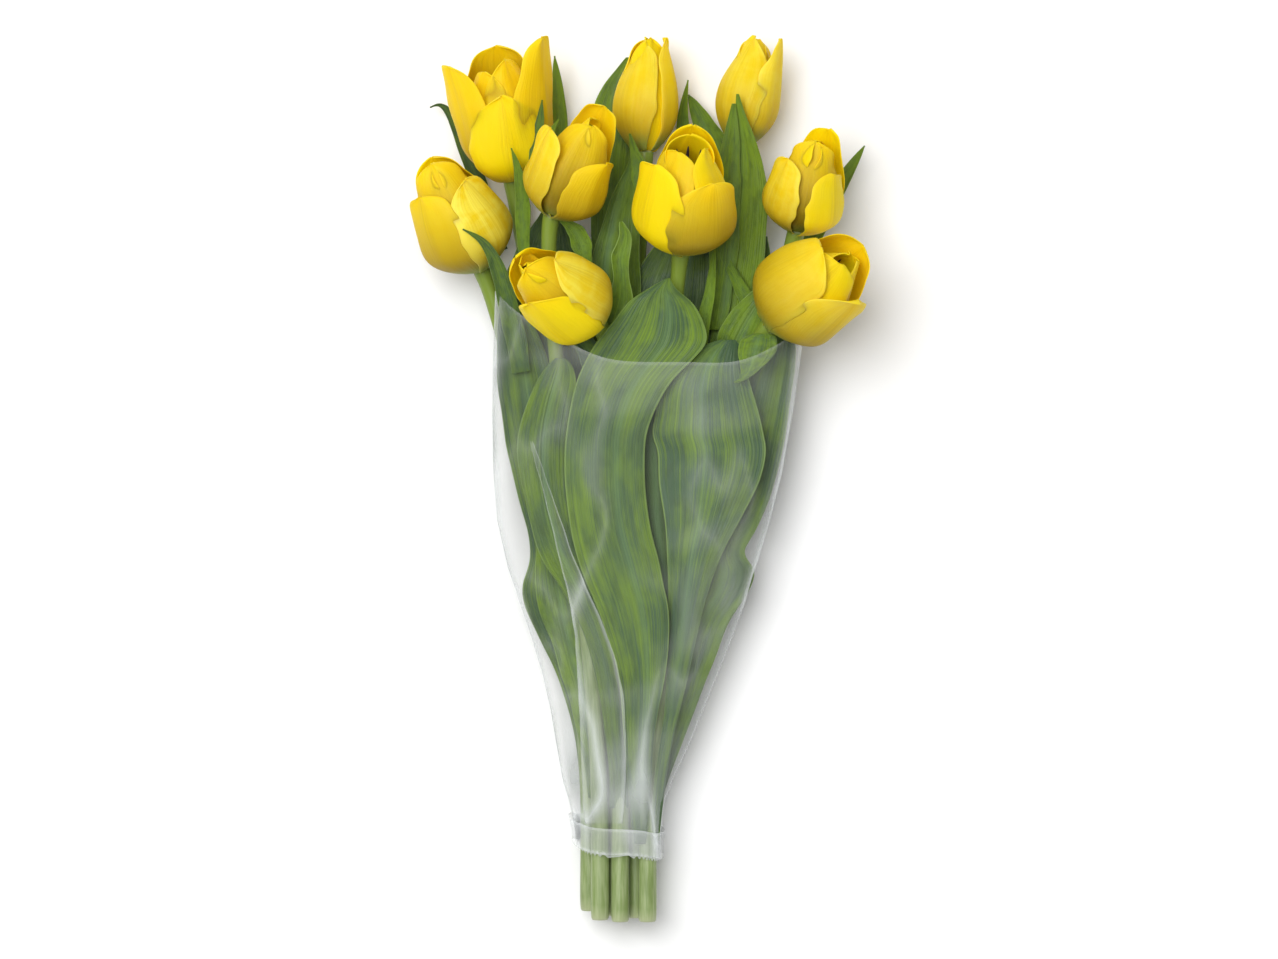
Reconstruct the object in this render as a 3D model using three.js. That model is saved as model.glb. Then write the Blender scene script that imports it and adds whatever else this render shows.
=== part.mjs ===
// A bunch of nine tulips in a clear film sleeve, lying on a surface.
// Millimetres. +Y runs from the cut stem ends to the blooms and +Z is up, away from the surface.
// The layout is drawn with the cut ends at y = 0 and the surface at z = 0. The last lines move
// the origin to the middle of the bunch's underside.
import * as THREE from 'three';

// Overall size, and the sizes that the places below are drawn at
const bunchLength = 376;
const bunchWidth = 196;
const bunchDepth = 91;
const drawnLength = 376;
const drawnWidth = 196;
const drawnDepth = 91;
const drawnPitch = 8.6;

// Stems
const stemDiameter = 8.2;
const stemTopDiameter = 6.4;
const stemClearance = 0.4;
const stemLeadIn = 22;
const straightShare = 0.3;
const stemSides = 8;
const stemSteps = 10;
const bundleCentre = -8.4;

// Blooms
const tepalThickness = 0.9;
const whorlClearance = 0.8;
const bloomBaseRadius = 4.6;
const bloomFloor = 1.2;
const bellyHeight = 0.45;
const lobeDepth = 0.2;
const lobeCount = 3;
const bloomSides = 12;
const jointGap = 0.3;
const pistilHeight = 17;
const pistilRadius = 2.2;

// Leaves
const leafThickness = 0.9;
const leafTipWidth = 1.2;
const leafAcross = 4;
const leafAlong = 9;

// Film sleeve and the tape round its foot
const filmThickness = 0.6;
const footClearance = 1.2;
const tapeThickness = 0.5;
const tapeClearance = 0.3;
const tapeWidth = 11;
const tapeSlant = 5;
const sleeveFoot = 27;
const sleeveNeck = 45;
const sleeveMouth = 240;
const seamHeight = 0.42;
const underside = 0.05;
const footRoundness = 0.4;
const sectionRoundness = 0.8;
const sleeveSides = 24;

const spread = bunchWidth / drawnWidth;
const rise = bunchDepth / drawnDepth;
const stemPitch = stemDiameter + stemClearance;
const footLift = tapeThickness + tapeClearance;
const lowestStem = footLift + filmThickness + footClearance + stemDiameter / 2;

// Each stem stands in a slot of the tied foot: its column either way from the middle, and its
// row up from the surface. base is where the bloom starts, turn its heading clockwise from +Y,
// tilt its rise from the surface, and mouth its rim as a share of its widest radius.
const tulips = [
  { name: 'top_left', slot: [-1, 0], cut: 1, base: [-54.5, 315, 20.5],
    turn: -7, tilt: 25, height: 55, radius: 21, mouth: 0.95 },
  { name: 'top_middle', slot: [-0.36, 1], cut: 2, base: [2, 326, 20],
    turn: 2, tilt: 3, height: 50, radius: 14.5, mouth: 0.35 },
  { name: 'top_right', slot: [0.1, 0], cut: 0, base: [43, 329, 20],
    turn: 9, tilt: 2, height: 48, radius: 13.5, mouth: 0.35 },
  { name: 'middle_left', slot: [-1, 2], cut: 5, base: [-37, 298, 45],
    turn: 25, tilt: 25, height: 50, radius: 19, mouth: 0.5 },
  { name: 'far_left', slot: [-1.52, 1], cut: 4, base: [-67, 276, 26],
    turn: -25, tilt: 20, height: 52, radius: 19, mouth: 0.5 },
  { name: 'lower_left', slot: [0, 2], cut: 0, base: [-18, 253, 52],
    turn: -53, tilt: 38, height: 50, radius: 18, mouth: 0.5 },
  { name: 'centre', slot: [0.74, 1], cut: 1, base: [17, 283, 50],
    turn: 5, tilt: 30, height: 54, radius: 21, mouth: 0.8 },
  { name: 'right', slot: [1.15, 0], cut: 2, base: [66, 292, 32],
    turn: 12, tilt: 25, height: 42, radius: 18, mouth: 0.6 },
  { name: 'lower_right', slot: [1.33, 2], cut: 0, base: [54, 252, 45],
    turn: 49, tilt: 25, height: 50, radius: 21, mouth: 0.8 },
];

// A leaf's route runs from its foot to its tip. widest is how far along it is broadest, cup how
// far its edges bend towards the surface as a share of half its width, and roll its lean.
const leaves = [
  { name: 'front_leaf', width: 40, foot: 7, widest: 0.6, cup: 0.15, roll: 0,
    route: [[-2, 58, 31], [-1, 110, 38], [-9, 160, 44], [-12, 200, 49], [1, 243, 56], [12, 270, 58]] },
  { name: 'front_right_leaf', width: 46, foot: 7, widest: 0.62, cup: 0.15, roll: -8,
    route: [[6, 64, 30.5], [15, 100, 34], [24, 145, 38], [29, 190, 42.5], [31, 220, 46], [42, 247, 53]] },
  { name: 'right_edge_leaf', width: 18, foot: 5, widest: 0.5, cup: 0.1, roll: -40,
    route: [[11, 66, 17], [20, 90, 19], [33, 130, 24], [44, 175, 28], [57, 225, 29], [62, 244, 29]] },
  { name: 'front_left_leaf', width: 25, foot: 6, widest: 0.65, cup: 0.12, roll: 20,
    route: [[-14, 60, 31], [-20, 100, 33], [-34, 160, 36], [-39, 200, 38], [-36, 238, 42]] },
  { name: 'left_edge_leaf', width: 16, foot: 5, widest: 0.5, cup: 0.1, roll: 40,
    route: [[-34, 90, 18], [-44, 140, 22], [-50, 190, 26], [-52, 230, 28], [-56, 262, 33]] },
  { name: 'low_left_leaf', width: 13, foot: 5, widest: 0.6, cup: 0, roll: -30,
    route: [[-33, 92, 10], [-36, 115, 11], [-41, 142, 12], [-42, 168, 13]] },
  { name: 'tall_right_leaf', width: 18, foot: 6, widest: 0.55, cup: 0.1, roll: 0,
    route: [[34, 215, 24], [38, 255, 24], [42, 300, 27], [42, 325, 32], [41, 346, 38]] },
  { name: 'tall_right_inner_leaf', width: 15, foot: 5, widest: 0.5, cup: 0.1, roll: 0,
    route: [[28, 250, 35], [35, 280, 35], [39, 312, 37], [37, 343, 45]] },
  { name: 'far_right_leaf', width: 12, foot: 5, widest: 0.6, cup: 0, roll: 0,
    route: [[44, 225, 11], [56, 258, 14], [76, 295, 12], [95, 328, 12]] },
  { name: 'top_middle_leaf', width: 15, foot: 6, widest: 0.6, cup: 0, roll: 0,
    route: [[-6, 240, 8], [-12, 290, 7], [-13, 330, 5], [-8, 364, 5]] },
  { name: 'dark_centre_leaf', width: 20, foot: 7, widest: 0.5, cup: 0.1, roll: 0,
    route: [[-12, 235, 30], [-13, 270, 33], [-12, 300, 34], [-6, 326, 33]] },
  { name: 'curled_leaf', width: 9, foot: 5, widest: 0.4, cup: 0.1, roll: 0,
    route: [[1, 225, 46], [0, 262, 46], [-5, 293, 47]] },
  { name: 'thin_left_leaf', width: 7, foot: 4, widest: 0.4, cup: 0, roll: 0,
    route: [[-50, 240, 38], [-58, 265, 44], [-74, 291, 54]] },
  { name: 'top_left_leaf', width: 10, foot: 5, widest: 0.5, cup: 0, roll: 0,
    route: [[-58, 285, 4], [-72, 322, 4], [-88, 347, 6]] },
  { name: 'beside_top_left_leaf', width: 8, foot: 5, widest: 0.4, cup: 0, roll: 0,
    route: [[-31, 290, 12], [-34, 330, 12], [-36, 366, 13]] },
  { name: 'between_left_leaf', width: 7, foot: 4, widest: 0.4, cup: 0, roll: 0,
    route: [[-52, 270, 37], [-53, 295, 43], [-53.5, 325, 52]] },
  { name: 'top_right_leaf', width: 14, foot: 6, widest: 0.55, cup: 0, roll: 0,
    route: [[22, 255, 10], [26, 300, 10], [25, 335, 11], [20, 356, 14]] },
  { name: 'small_centre_leaf', width: 8, foot: 5, widest: 0.4, cup: 0, roll: 0,
    route: [[2, 290, 34], [0, 312, 38], [-4, 333, 40]] },
  { name: 'under_right_leaf', width: 14, foot: 6, widest: 0.5, cup: 0, roll: 0,
    route: [[38, 205, 26], [45, 240, 29], [52, 270, 31]] },
  { name: 'under_left_leaf', width: 10, foot: 5, widest: 0.5, cup: 0, roll: 0,
    route: [[-16, 205, 38], [-21, 232, 43], [-27, 252, 45]] },
  { name: 'back_left_leaf', width: 28, foot: 8, widest: 0.5, cup: 0, roll: 0,
    route: [[-12, 110, 2.2], [-20, 170, 2.6], [-22, 230, 3], [-18, 285, 4]] },
  { name: 'back_right_leaf', width: 28, foot: 8, widest: 0.5, cup: 0, roll: 0,
    route: [[4, 110, 2.2], [18, 170, 2.6], [26, 225, 3], [28, 270, 4]] },
];

// The sleeve's left edge, right edge and top, at stations up from the neck
const sleeveStations = [
  { y: 60, left: -33, right: 15, top: 38 },
  { y: 90, left: -38, right: 27, top: 43 },
  { y: 120, left: -46, right: 39, top: 47 },
  { y: 150, left: -56, right: 49, top: 52 },
  { y: 190, left: -62, right: 60, top: 58 },
  { y: sleeveMouth, left: -64, right: 68, top: 67 },
];
const backSheetRise = 22;

const stemColour = new THREE.MeshStandardMaterial({ color: 0x8fa35f, roughness: 0.5, metalness: 0 });
const leafColour = new THREE.MeshStandardMaterial({ color: 0x5f8256, roughness: 0.45, metalness: 0 });
const petalColour = new THREE.MeshStandardMaterial({ color: 0xf5cf10, roughness: 0.5, metalness: 0 });
const pistilColour = new THREE.MeshStandardMaterial({ color: 0xb9bf62, roughness: 0.6, metalness: 0 });
const filmColour = new THREE.MeshStandardMaterial({ color: 0xeef2f2, roughness: 0.15, metalness: 0 });
const tapeColour = new THREE.MeshStandardMaterial({ color: 0xdfe4e0, roughness: 0.3, metalness: 0 });

// How much wider the bunch is than drawn at a height: near the neck it follows the stems' pitch.
function bundleGrowth(y) {
  const fade = THREE.MathUtils.smoothstep(y, sleeveNeck, sleeveMouth);
  return THREE.MathUtils.lerp(stemPitch / drawnPitch, 1, fade);
}

function acrossBunch(x, y) {
  return (bundleCentre + (x - bundleCentre) * bundleGrowth(y)) * spread;
}

// A longer bunch has longer stems: the foot and the blooms keep their own spacing.
function alongBunch(y) {
  const share = THREE.MathUtils.clamp((y - sleeveNeck) / (sleeveMouth - sleeveNeck), 0, 1);
  return y + (bunchLength - drawnLength) * share;
}

function place([x, y, z]) {
  return new THREE.Vector3(acrossBunch(x, y), alongBunch(y), z * rise * bundleGrowth(y));
}

// Moves every vertex of a geometry to the place that a function gives it.
function reshape(geometry, moved) {
  const position = geometry.attributes.position;
  const vertex = new THREE.Vector3();
  for (let i = 0; i < position.count; i += 1) {
    vertex.copy(moved(vertex.fromBufferAttribute(position, i)));
    position.setXYZ(i, vertex.x, vertex.y, vertex.z);
  }
  geometry.computeVertexNormals();
  return geometry;
}

// The directions across and out of a strip that follows a curve, leaning by roll.
function frameAt(curve, t, roll) {
  const along = curve.getTangentAt(t);
  const across = new THREE.Vector3().crossVectors(along, new THREE.Vector3(0, 0, 1)).normalize();
  across.applyAxisAngle(along, -roll);
  const out = new THREE.Vector3().crossVectors(across, along);
  return { point: curve.getPointAt(t), across, out };
}

// Bends a geometry that stands from y = -0.5 to 0.5 along a curve.
function bendAlong(geometry, curve, roll, section) {
  return reshape(geometry, (vertex) => {
    const t = THREE.MathUtils.clamp(vertex.y + 0.5, 0, 1);
    const { point, across, out } = frameAt(curve, t, roll);
    const [side, height] = section(vertex, t);
    return point.addScaledVector(across, side).addScaledVector(out, height);
  });
}

function slotPlace([column, row], y) {
  const x = bundleCentre * spread + column * stemPitch;
  return new THREE.Vector3(x, y, lowestStem + row * stemPitch);
}

function bloomDirection(tulip) {
  const turn = THREE.MathUtils.degToRad(tulip.turn);
  const tilt = THREE.MathUtils.degToRad(tulip.tilt);
  const level = Math.cos(tilt);
  return new THREE.Vector3(Math.sin(turn) * level, Math.cos(turn) * level, Math.sin(tilt));
}

function makeStem(tulip) {
  const direction = bloomDirection(tulip);
  const base = place(tulip.base);
  const neck = slotPlace(tulip.slot, sleeveNeck);
  const straight = (base.y - neck.y) * straightShare;
  const curve = new THREE.CurvePath();
  curve.add(new THREE.LineCurve3(slotPlace(tulip.slot, tulip.cut), neck));
  curve.add(new THREE.CubicBezierCurve3(
    neck,
    slotPlace(tulip.slot, sleeveNeck + straight),
    base.clone().addScaledVector(direction, -stemLeadIn),
    base.clone().addScaledVector(direction, -jointGap),
  ));
  const rod = new THREE.CylinderGeometry(1, 1, 1, stemSides, stemSteps);
  return bendAlong(rod, curve, 0, (vertex, t) => {
    const radius = THREE.MathUtils.lerp(stemDiameter, stemTopDiameter, t) / 2;
    return [vertex.x * radius, vertex.z * radius];
  });
}

// The radius of a bloom's outside at a height: a rounded belly that draws in to the mouth.
function bloomRadius(tulip, height) {
  const belly = tulip.height * bellyHeight;
  if (height < belly) {
    const swell = Math.sin(Math.PI / 2 * height / belly);
    return bloomBaseRadius + (tulip.radius - bloomBaseRadius) * swell;
  }
  const above = (height - belly) / (tulip.height - belly);
  return tulip.radius * (1 - (1 - tulip.mouth) * above * above);
}

// Three tepals that share a base: a lobed cup whose wall starts inset from the bloom's outside.
function makeWhorl(tulip, inset, lift, lobeTurn) {
  const heights = [0.12, 0.3, 0.55, 0.8, 1].map((share) => share * tulip.height);
  const outside = [lift, ...heights].map((y) => [bloomRadius(tulip, y) - inset, y]);
  const inner = inset + tepalThickness;
  const inside = [lift + bloomFloor, ...heights].map((y) => [bloomRadius(tulip, y) - inner, y]);
  const wall = [[0, lift], ...outside, ...inside.reverse(), [0, lift + bloomFloor]];
  const profile = wall.map(([x, y]) => new THREE.Vector2(x, y));
  return reshape(new THREE.LatheGeometry(profile, bloomSides), (vertex) => {
    const radius = Math.hypot(vertex.x, vertex.z);
    if (radius < bloomBaseRadius / 2) return vertex;
    const depth = bloomRadius(tulip, vertex.y) - radius;
    const angle = Math.atan2(vertex.z, vertex.x) + lobeTurn;
    const dip = lobeDepth * (1 - Math.abs(Math.cos(angle * lobeCount / 2)));
    const height = vertex.y * (1 - dip * (vertex.y / tulip.height) ** 3);
    const scale = (bloomRadius(tulip, height) - depth) / radius;
    return vertex.set(vertex.x * scale, height, vertex.z * scale);
  });
}

function makePistil() {
  const foot = 2 * bloomFloor + whorlClearance + jointGap;
  const profile = [[0, 0], [0.8, 0], [1, 0.3], [0.85, 0.8], [1.35, 0.92], [0, 1]];
  const points = profile.map(([x, y]) => new THREE.Vector2(x * pistilRadius, foot + y * pistilHeight));
  return new THREE.LatheGeometry(points, stemSides);
}

function leafWidthAt(leaf, t) {
  if (t < leaf.widest) {
    return THREE.MathUtils.lerp(leaf.foot, leaf.width, THREE.MathUtils.smoothstep(t, 0, leaf.widest));
  }
  const toTip = (t - leaf.widest) / (1 - leaf.widest);
  return Math.max(leafTipWidth, leaf.width * (1 - toTip ** 2.2));
}

function makeLeaf(leaf) {
  const curve = new THREE.CatmullRomCurve3(leaf.route.map(place), false, 'chordal');
  const strip = new THREE.BoxGeometry(2, 1, 1, leafAcross, leafAlong, 1);
  return bendAlong(strip, curve, THREE.MathUtils.degToRad(leaf.roll), (vertex, t) => {
    const half = leafWidthAt(leaf, t) * spread / 2;
    const drop = leaf.cup * half * vertex.x ** 2;
    return [vertex.x * half, vertex.z * leafThickness - drop];
  });
}

// The tied foot's section, which holds the slots of all the stems.
function footSection(y) {
  const columns = tulips.map((tulip) => tulip.slot[0]);
  const rows = tulips.map((tulip) => tulip.slot[1]);
  const margin = stemDiameter / 2 + footClearance + filmThickness;
  const left = bundleCentre * spread + Math.min(...columns) * stemPitch - margin;
  const right = bundleCentre * spread + Math.max(...columns) * stemPitch + margin;
  const top = lowestStem + Math.max(...rows) * stemPitch + margin;
  return { y, left, right, top, bottom: footLift, roundness: footRoundness };
}

function sleeveSections() {
  const upper = sleeveStations.map(({ y, left, right, top }) => ({
    y: alongBunch(y), left: acrossBunch(left, y), right: acrossBunch(right, y),
    top: top * rise * bundleGrowth(y), bottom: 0, roundness: sectionRoundness,
  }));
  return [footSection(sleeveFoot), footSection(sleeveNeck), ...upper];
}

// A point on a sleeve section, at the angle whose cosine and sine are given, inset by its wall.
function sectionPoint(section, cosine, sine, inset) {
  const middle = (section.left + section.right) / 2;
  const half = (section.right - section.left) / 2 - inset;
  const seam = THREE.MathUtils.lerp(section.bottom, section.top, seamHeight);
  const flat = section.bottom > 0 ? 0 : underside * section.top;
  const below = seam - section.bottom + flat - inset;
  const above = section.top - seam - inset;
  const bulge = Math.sign(sine) * Math.abs(sine) ** section.roundness;
  const x = middle + half * Math.sign(cosine) * Math.abs(cosine) ** section.roundness;
  const z = seam + bulge * (sine > 0 ? above : below);
  return new THREE.Vector3(x, section.y, Math.max(section.bottom + inset, z));
}

// A tube through the sections, its wall given by an inner and an outer inset.
function makeTube(sections, outerInset, innerInset, endShift) {
  const up = sections.map((section, index) => new THREE.Vector2(2, index));
  const down = sections.map((section, index) => new THREE.Vector2(1, index)).reverse();
  const ring = new THREE.LatheGeometry([...up, ...down, up[0]], sleeveSides);
  return reshape(ring, (vertex) => {
    const radius = Math.hypot(vertex.x, vertex.z);
    const inset = radius > 1.5 ? outerInset : innerInset;
    const section = sections[Math.round(vertex.y)];
    const cosine = vertex.x / radius;
    const sine = vertex.z / radius;
    const point = sectionPoint(section, cosine, sine, inset);
    point.y += endShift(Math.round(vertex.y), cosine, sine);
    return point;
  });
}

// The back sheet stands higher than the front one at the mouth.
function makeSleeve() {
  const sections = sleeveSections();
  const last = sections.length - 1;
  return makeTube(sections, 0, filmThickness, (index, cosine, sine) => (
    index === last ? backSheetRise * Math.max(0, -sine) : 0
  ));
}

function makeTape() {
  const start = sleeveFoot + (sleeveNeck - sleeveFoot - tapeWidth) / 2;
  const sections = [footSection(start), footSection(start + tapeWidth)];
  const slant = (index, cosine) => -cosine * tapeSlant / 2;
  return makeTube(sections, -tapeClearance - tapeThickness, -tapeClearance, slant);
}

function addPiece(parent, name, geometry, material) {
  const piece = new THREE.Mesh(geometry, material);
  piece.name = name;
  parent.add(piece);
}

function makeBloom(tulip) {
  const bloom = new THREE.Group();
  const innerInset = tepalThickness + whorlClearance;
  const innerLift = bloomFloor + whorlClearance;
  const halfLobe = Math.PI / lobeCount;
  const outerWhorl = makeWhorl(tulip, 0, 0, 0);
  const innerWhorl = makeWhorl(tulip, innerInset, innerLift, halfLobe);
  addPiece(bloom, `${tulip.name}_outer_tepals`, outerWhorl, petalColour);
  addPiece(bloom, `${tulip.name}_inner_tepals`, innerWhorl, petalColour);
  addPiece(bloom, `${tulip.name}_pistil`, makePistil(), pistilColour);
  bloom.position.copy(place(tulip.base));
  bloom.quaternion.setFromUnitVectors(new THREE.Vector3(0, 1, 0), bloomDirection(tulip));
  return bloom;
}

const bunch = new THREE.Group();
for (const tulip of tulips) {
  addPiece(bunch, `${tulip.name}_stem`, makeStem(tulip), stemColour);
  bunch.add(makeBloom(tulip));
}
for (const leaf of leaves) {
  addPiece(bunch, leaf.name, makeLeaf(leaf), leafColour);
}
addPiece(bunch, 'film_sleeve', makeSleeve(), filmColour);
addPiece(bunch, 'foot_tape', makeTape(), tapeColour);

const box = new THREE.Box3().setFromObject(bunch, true);
const middle = box.getCenter(new THREE.Vector3());
bunch.position.set(-middle.x, -middle.y, -box.min.z);
const group = new THREE.Group();
group.add(bunch);

export default group;
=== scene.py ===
import bisect
import math

import bmesh
import bpy
from mathutils import Matrix, Vector, noise


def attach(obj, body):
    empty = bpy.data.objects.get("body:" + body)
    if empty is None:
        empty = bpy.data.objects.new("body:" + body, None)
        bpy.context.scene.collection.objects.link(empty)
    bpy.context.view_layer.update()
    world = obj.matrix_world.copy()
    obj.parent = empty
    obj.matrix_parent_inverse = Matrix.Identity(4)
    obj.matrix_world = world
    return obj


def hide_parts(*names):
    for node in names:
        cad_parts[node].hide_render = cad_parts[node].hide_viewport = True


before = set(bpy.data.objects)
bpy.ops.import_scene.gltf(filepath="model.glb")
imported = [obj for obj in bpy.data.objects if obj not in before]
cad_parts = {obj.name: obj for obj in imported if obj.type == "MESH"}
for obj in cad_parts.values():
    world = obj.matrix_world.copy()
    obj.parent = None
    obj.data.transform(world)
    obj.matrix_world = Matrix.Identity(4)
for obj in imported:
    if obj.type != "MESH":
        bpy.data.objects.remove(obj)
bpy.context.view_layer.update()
print("frame loaded:", len(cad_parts), "nodes")

# Lengths below are millimetres in the maker's layout: cut stem ends at y 0, blooms at the top.
mm = 0.001
layoutMiddle = Vector((1.34, 188.45, 0.0))
sameSpot = 1e-7  # in metres, for points merged at a seam


def spot(point):
    return (Vector(point) - layoutMiddle) * mm


def mixed(a, b, share):
    return a + (b - a) * share


def smooth(low, high, value):
    t = min(max((value - low) / (high - low), 0.0), 1.0)
    return t * t * (3 - 2 * t)


# A value between rows of numbers, on a smooth curve through them, with t from 0 to 1 by distance.
def alongRows(rows, t):
    places = [0.0]
    for a, b in zip(rows, rows[1:]):
        places.append(places[-1] + math.dist(a, b))
    want = t * places[-1]
    i = min(max(bisect.bisect_right(places, want) - 1, 0), len(rows) - 2)
    share = (want - places[i]) / max(places[i + 1] - places[i], 1e-6)
    before, a, b, after = (rows[min(max(k, 0), len(rows) - 1)] for k in (i - 1, i, i + 1, i + 2))
    s2, s3 = share * share, share ** 3
    return tuple(0.5 * (2 * q + (r - p) * share + (2 * p - 5 * q + 4 * r - s) * s2
                        + (3 * q - p - 3 * r + s) * s3)
                 for p, q, r, s in zip(before, a, b, after))


def wander(x, y, z=0.0):
    return noise.noise(Vector((x, y, z)))


def newGroup(name, inputs, outputs):
    group = bpy.data.node_groups.new(name, "ShaderNodeTree")
    for label, kind, value in inputs:
        socket = group.interface.new_socket(label, in_out="INPUT", socket_type=kind)
        if value is not None:
            socket.default_value = value
    for label in outputs:
        group.interface.new_socket(label, in_out="OUTPUT", socket_type="NodeSocketFloat")
    return group, group.nodes.new("NodeGroupInput"), group.nodes.new("NodeGroupOutput")


# A node is added to the tree that the sockets it reads are in.
def addMath(operation, a, b=None, clamp=False):
    tree = (a if isinstance(a, bpy.types.NodeSocket) else b).id_data
    node = tree.nodes.new("ShaderNodeMath")
    node.operation = operation
    node.use_clamp = clamp
    for socket, value in zip(node.inputs, (a, b)):
        if isinstance(value, bpy.types.NodeSocket):
            tree.links.new(value, socket)
        elif value is not None:
            socket.default_value = value
    return node.outputs[0]


def times(a, b, clamp=False):
    return addMath("MULTIPLY", a, b, clamp)


def plus(a, b, clamp=False):
    return addMath("ADD", a, b, clamp)


def addRange(value, low, high, start=0.0, end=1.0):
    tree = value.id_data
    node = tree.nodes.new("ShaderNodeMapRange")
    node.interpolation_type = "SMOOTHSTEP"
    tree.links.new(value, node.inputs[0])
    for k, number in enumerate((low, high, start, end)):
        if isinstance(number, bpy.types.NodeSocket):
            tree.links.new(number, node.inputs[k + 1])
        else:
            node.inputs[k + 1].default_value = number
    return node.outputs[0]


def addMix(factor, a, b):
    tree = factor.id_data
    node = tree.nodes.new("ShaderNodeMix")
    node.data_type = "RGBA"
    for socket, value in ((node.inputs[0], factor), (node.inputs[6], a), (node.inputs[7], b)):
        if isinstance(value, bpy.types.NodeSocket):
            tree.links.new(value, socket)
        else:
            socket.default_value = (*value, 1.0)
    return node.outputs[2]


def addNoise(vector, scale, detail, rough, stretch=None):
    tree = vector.id_data
    if stretch is not None:
        mapping = tree.nodes.new("ShaderNodeMapping")
        mapping.inputs["Scale"].default_value = stretch
        tree.links.new(vector, mapping.inputs["Vector"])
        vector = mapping.outputs[0]
    node = tree.nodes.new("ShaderNodeTexNoise")
    node.inputs["Scale"].default_value = scale
    node.inputs["Detail"].default_value = detail
    node.inputs["Roughness"].default_value = rough
    tree.links.new(vector, node.inputs["Vector"])
    return node.outputs[0]


def addSplit(vector):
    tree = vector.id_data
    node = tree.nodes.new("ShaderNodeSeparateXYZ")
    tree.links.new(vector, node.inputs[0])
    return node.outputs


def addAttribute(tree, name):
    node = tree.nodes.new("ShaderNodeAttribute")
    node.attribute_name = name
    return node.outputs["Vector"]


# Lines that run from base to tip, soft patches, and the margin, read from a piece's growth attribute.
linesShape = {"along": 1.6, "perPiece": 37.0, "broad": 0.22, "patch": 3.1, "patchStretch": (1.0, 2.6, 9.0)}


def makeGrowthLines(look):
    tree, given, out = newGroup(
        "growthLines",
        [("Growth", "NodeSocketVector", None), ("Lines", "NodeSocketFloat", 30.0),
         ("Margin Start", "NodeSocketFloat", 0.8)],
        ["Fine", "Broad", "Patch", "Margin", "Along", "Across"])
    side, rise, piece = addSplit(given.outputs["Growth"])
    across = addMath("SUBTRACT", side, 0.5)
    place = tree.nodes.new("ShaderNodeCombineXYZ")
    tree.links.new(times(across, given.outputs["Lines"]), place.inputs[0])
    tree.links.new(times(rise, look["along"]), place.inputs[1])
    tree.links.new(times(piece, look["perPiece"]), place.inputs[2])
    fine = addNoise(place.outputs[0], 1.0, 3.0, 0.6)
    broad = addNoise(place.outputs[0], look["broad"], 2.0, 0.5)
    patch = addNoise(given.outputs["Growth"], look["patch"], 3.0, 0.55, look["patchStretch"])
    edge = times(addMath("ABSOLUTE", across), 2.0)
    results = {"Fine": addRange(fine, 0.3, 0.7), "Broad": addRange(broad, 0.32, 0.68),
               "Patch": addRange(patch, 0.35, 0.65), "Along": rise, "Across": edge,
               "Margin": addRange(edge, given.outputs["Margin Start"], 1.0)}
    for label, result in results.items():
        tree.links.new(result, out.inputs[label])
    return tree


# Soft folds and sharp creases of thin clear film.
crinkleShape = {"swell": 16.0, "swellStretch": (1.6, 0.8, 1.0), "ridge": 26.0,
                "ridgeStretch": (1.0, 0.42, 1.0), "ridgeHeight": 0.12}


def makeFilmCrinkle(look):
    tree, given, out = newGroup(
        "filmCrinkle",
        [("Place", "NodeSocketVector", None), ("Sharpness", "NodeSocketFloat", 9.0)],
        ["Height", "Crease"])
    swell = addNoise(given.outputs["Place"], look["swell"], 1.0, 0.4, look["swellStretch"])
    ridge = addNoise(given.outputs["Place"], look["ridge"], 2.0, 0.45, look["ridgeStretch"])
    away = addMath("ABSOLUTE", addMath("SUBTRACT", ridge, 0.5))
    crease = addMath("SUBTRACT", 1.0, times(away, given.outputs["Sharpness"]), True)
    crease = addMath("POWER", crease, 3.0)
    tree.links.new(plus(swell, times(crease, look["ridgeHeight"])), out.inputs["Height"])
    tree.links.new(crease, out.inputs["Crease"])
    return tree


growthLines = makeGrowthLines(linesShape)
filmCrinkle = makeFilmCrinkle(crinkleShape)


def newMaterial(name, rough, specular):
    material = bpy.data.materials.new(name)
    material.use_nodes = True
    shader = material.node_tree.nodes["Principled BSDF"]
    shader.inputs["Roughness"].default_value = rough
    shader.inputs["Specular IOR Level"].default_value = specular
    return material, material.node_tree, shader


def addGroup(group, link, **values):
    tree = link.id_data
    node = tree.nodes.new("ShaderNodeGroup")
    node.node_tree = group
    tree.links.new(link, node.inputs[0])
    for label, value in values.items():
        node.inputs[label.replace("_", " ")].default_value = value
    return node.outputs


def addBump(shader, height, strength, distance):
    tree = height.id_data
    bump = tree.nodes.new("ShaderNodeBump")
    bump.inputs["Strength"].default_value = strength
    bump.inputs["Distance"].default_value = distance
    tree.links.new(height, bump.inputs["Height"])
    tree.links.new(bump.outputs[0], shader.inputs["Normal"])


# The low colour is painted shade; the other colours are the tepals' own.
petalLook = {
    "inside": (0.94, 0.64, 0.001), "outside": (0.89, 0.57, 0.001), "pale": (0.97, 0.74, 0.07),
    "deep": (0.58, 0.35, 0.001), "low": (0.27, 0.19, 0.008), "base": (0.26, 0.30, 0.05), "lines": 34.0,
    "margin": 0.72, "streaks": 0.35, "rim": 0.5, "patches": 0.25, "spine": 0.35, "lowShadeShare": 0.6,
    "shadeShare": 0.65, "glow": 0.45, "glowDepth": 0.003, "glowReach": (1.0, 0.8, 0.1), "bump": 0.35,
}


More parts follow.
